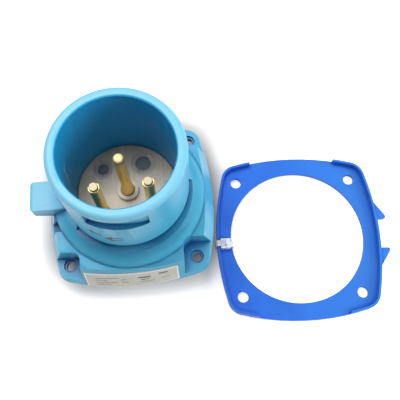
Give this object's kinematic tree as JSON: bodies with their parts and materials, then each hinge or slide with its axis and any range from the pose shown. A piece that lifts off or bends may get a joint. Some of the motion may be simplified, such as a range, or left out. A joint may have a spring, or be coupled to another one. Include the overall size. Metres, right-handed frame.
{
  "type": "panel inlet for an industrial pin and sleeve coupling",
  "caption": "Square flanged inlet with a round open sleeve, contact pins on a carrier inside it, a latch lug and locking slot, and the flange's gasket lying beside it.",
  "frame": {"origin": "centre of the square of fixing holes, on the flange's back face where the panel lies", "axes": "+Z out of the sleeve's mouth, -Y towards the rating label, -X towards the latch lug"},
  "size_m": [0.2243, 0.1328, 0.1061],
  "materials": {
    "casing_plastic": "moulded glass-filled polyester, satin gloss, sky blue",
    "carrier_plastic": "pressed beige-grey moulding compound",
    "seal_rubber": "black sealing rubber",
    "spring_steel": "plated spring steel",
    "pin_brass": "turned brass",
    "contact_silver": "silver alloy contact face",
    "block_plastic": "moulded insulating plastic, dark grey",
    "screw_steel": "zinc plated steel",
    "label_film": "printed film, off-white, left without words",
    "gasket_rubber": "moulded flexible blue elastomer",
    "tie_nylon": "natural nylon, slightly translucent"
  },
  "bodies": {
    "root": {"casing": "casing_plastic", "contact_carrier": "carrier_plastic", "carrier_seal": "seal_rubber", "retaining_ring": "spring_steel", "earth_pin": "pin_brass", "line_pin": "pin_brass", "neutral_pin": "pin_brass", "line_pin_tip": "contact_silver", "neutral_pin_tip": "contact_silver", "pin_seals": "seal_rubber", "large_blanking_plug": "seal_rubber", "small_blanking_plug": "seal_rubber", "terminal_block": "block_plastic", "block_screws": "screw_steel", "screw_inserts": "pin_brass", "earth_clamp_screw": "screw_steel", "line_clamp_screw": "screw_steel", "neutral_clamp_screw": "screw_steel", "rating_label": "label_film", "mounting_gasket": "gasket_rubber", "cable_tie": "tie_nylon"}
  },
  "joints": []
}
